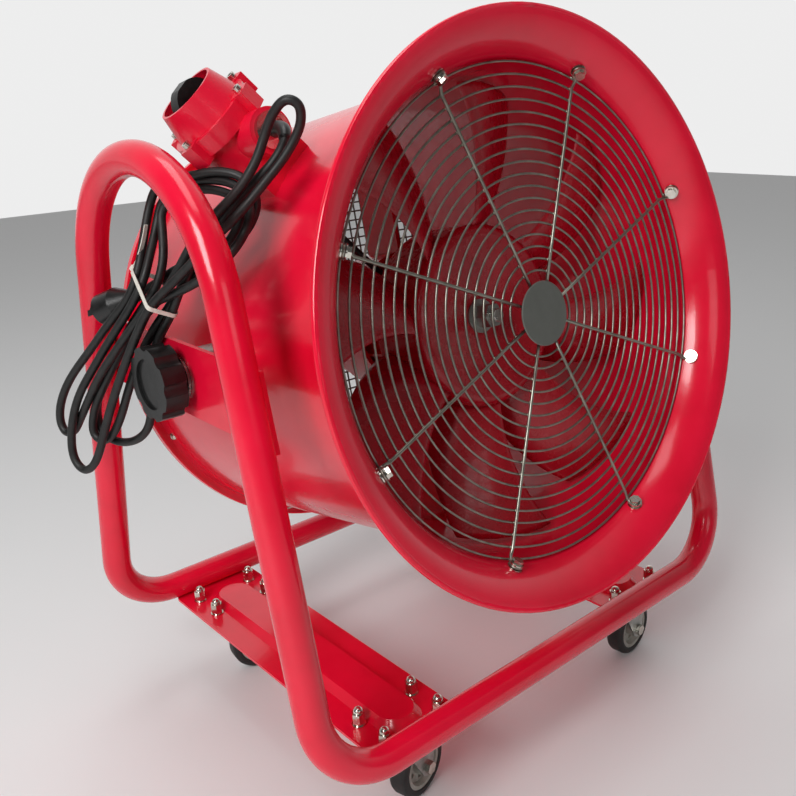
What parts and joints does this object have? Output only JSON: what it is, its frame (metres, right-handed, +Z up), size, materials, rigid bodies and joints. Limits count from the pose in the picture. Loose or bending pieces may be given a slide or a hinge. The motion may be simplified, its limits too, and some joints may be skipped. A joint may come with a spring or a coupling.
{
  "type": "portable axial ventilator",
  "caption": "Portable ducted axial fan with a bell mouth, wire guards and a switch box, tilting in a tube frame on swivel casters.",
  "frame": {"origin": "on the floor, under the centre of the fan's footprint without its cord", "axes": "+Z up; the bell mouth faces -Y; the tilt pivots lie along X, with the switch box on the -X side"},
  "size_m": [0.7165, 0.5781, 0.8354],
  "materials": {
    "red_powder_coat": "glossy powder coat",
    "zinc_plated_steel": "zinc plated",
    "bright_nickel_fasteners": "polished",
    "guard_wire": "bright zinc wire",
    "badge_aluminium": "dark satin",
    "mesh_wire": "dark galvanised",
    "red_cast_iron": "painted casting",
    "motor_steel": "machined",
    "cord_rubber": "matt rubber jacket",
    "red_cast_aluminium": "painted casting",
    "nylon_tie": "natural nylon",
    "black_moulding": "moulded",
    "red_impeller": "painted cast aluminium",
    "grey_wheel_core": "moulded",
    "tyre_rubber": "solid rubber"
  },
  "bodies": {
    "frame": {"left_arch_tube": "red_powder_coat", "right_arch_tube": "red_powder_coat", "front_bar": "red_powder_coat", "rear_bar": "red_powder_coat", "left_side_plate": "red_powder_coat", "right_side_plate": "red_powder_coat", "left_base_plate": "red_powder_coat", "right_base_plate": "red_powder_coat", "caster_top_plates": "zinc_plated_steel", "caster_bolts": "bright_nickel_fasteners", "caster_washers": "bright_nickel_fasteners", "caster_nuts": "bright_nickel_fasteners"},
    "drum": {"duct_barrel": "red_powder_coat", "bell_mouth": "red_powder_coat", "rear_rim": "red_powder_coat", "pivot_fittings": "zinc_plated_steel", "front_guard_rings": "guard_wire", "front_guard_spokes": "guard_wire", "guard_badge": "badge_aluminium", "duct_screws": "bright_nickel_fasteners", "rear_guard_mesh": "mesh_wire", "motor_housing": "red_cast_iron", "motor_stator": "motor_steel", "motor_end_shields": "red_cast_iron", "motor_bearings": "motor_steel", "motor_mount": "red_powder_coat", "motor_lead": "cord_rubber", "switch_base": "red_cast_aluminium", "switch_cover": "red_cast_aluminium", "switch_screws": "bright_nickel_fasteners", "cable_gland": "bright_nickel_fasteners", "power_lead": "cord_rubber", "cord_hank": "cord_rubber", "cable_tie": "nylon_tie", "plug": "black_moulding"},
    "impeller": {"impeller_hub": "red_impeller", "impeller_blades": "red_impeller", "rotor_and_shaft": "motor_steel", "shaft_nut": "zinc_plated_steel"},
    "left_knob": {"left_star_knob": "black_moulding"},
    "right_knob": {"right_star_knob": "black_moulding"},
    "switch_handle": {"switch_knob": "black_moulding"},
    "front_left_caster": {"front_left_fork": "zinc_plated_steel", "front_left_axle": "zinc_plated_steel"},
    "front_left_wheel": {"front_left_wheel_core": "grey_wheel_core", "front_left_tyre": "tyre_rubber"},
    "front_left_brake": {"front_left_brake_pedal": "zinc_plated_steel"},
    "front_right_caster": {"front_right_fork": "zinc_plated_steel", "front_right_axle": "zinc_plated_steel"},
    "front_right_wheel": {"front_right_wheel_core": "grey_wheel_core", "front_right_tyre": "tyre_rubber"},
    "front_right_brake": {"front_right_brake_pedal": "zinc_plated_steel"},
    "rear_left_caster": {"rear_left_fork": "zinc_plated_steel", "rear_left_axle": "zinc_plated_steel"},
    "rear_left_wheel": {"rear_left_wheel_core": "grey_wheel_core", "rear_left_tyre": "tyre_rubber"},
    "rear_right_caster": {"rear_right_fork": "zinc_plated_steel", "rear_right_axle": "zinc_plated_steel"},
    "rear_right_wheel": {"rear_right_wheel_core": "grey_wheel_core", "rear_right_tyre": "tyre_rubber"}
  },
  "joints": [
    {"name": "drum_tilt", "type": "hinge", "parent": "frame", "child": "drum", "pos_m": [0, 0.0132, 0.492], "axis": [-1, 0, 0], "range_deg": [-40, 20]},
    {"name": "impeller_spin", "type": "hinge", "parent": "drum", "child": "impeller", "pos_m": [0, 0.0132, 0.492], "axis": [0, -0.9833, 0.1822], "continuous": true},
    {"name": "left_knob_turn", "type": "hinge", "parent": "drum", "child": "left_knob", "pos_m": [0, 0.0132, 0.492], "axis": [-1, 0, 0], "continuous": true},
    {"name": "right_knob_turn", "type": "hinge", "parent": "drum", "child": "right_knob", "pos_m": [0, 0.0132, 0.492], "axis": [1, 0, 0], "continuous": true},
    {"name": "switch_turn", "type": "hinge", "parent": "drum", "child": "switch_handle", "pos_m": [-0.2469, 0.0285, 0.75562], "axis": [-0.6858, 0.1326, 0.7156], "range_deg": [0, 90]},
    {"name": "front_left_swivel", "type": "hinge", "parent": "frame", "child": "front_left_caster", "pos_m": [-0.192, -0.1628, 0.1], "axis": [0, 0, 1], "continuous": true},
    {"name": "front_left_wheel_spin", "type": "hinge", "parent": "front_left_caster", "child": "front_left_wheel", "pos_m": [-0.16677, -0.15651, 0.038], "axis": [-0.2419, 0.9703, 0], "continuous": true},
    {"name": "front_left_brake", "type": "hinge", "parent": "front_left_caster", "child": "front_left_brake", "pos_m": [-0.15998, -0.15482, 0.085], "axis": [-0.2419, 0.9703, 0], "range_deg": [0, 8]},
    {"name": "front_right_swivel", "type": "hinge", "parent": "frame", "child": "front_right_caster", "pos_m": [0.192, -0.1628, 0.1], "axis": [0, 0, 1], "continuous": true},
    {"name": "front_right_wheel_spin", "type": "hinge", "parent": "front_right_caster", "child": "front_right_wheel", "pos_m": [0.21786, -0.16008, 0.038], "axis": [-0.1045, 0.9945, 0], "continuous": true},
    {"name": "front_right_brake", "type": "hinge", "parent": "front_right_caster", "child": "front_right_brake", "pos_m": [0.22482, -0.15935, 0.085], "axis": [-0.1045, 0.9945, 0], "range_deg": [0, 8]},
    {"name": "rear_left_swivel", "type": "hinge", "parent": "frame", "child": "rear_left_caster", "pos_m": [-0.192, 0.1892, 0.1], "axis": [0, 0, 1], "continuous": true},
    {"name": "rear_left_wheel_spin", "type": "hinge", "parent": "rear_left_caster", "child": "rear_left_wheel", "pos_m": [-0.16625, 0.18558, 0.038], "axis": [0.1392, 0.9903, 0], "continuous": true},
    {"name": "rear_right_swivel", "type": "hinge", "parent": "frame", "child": "rear_right_caster", "pos_m": [0.192, 0.1892, 0.1], "axis": [0, 0, 1], "continuous": true},
    {"name": "rear_right_wheel_spin", "type": "hinge", "parent": "rear_right_caster", "child": "rear_right_wheel", "pos_m": [0.2176, 0.19371, 0.038], "axis": [-0.1736, 0.9848, 0], "continuous": true}
  ]
}
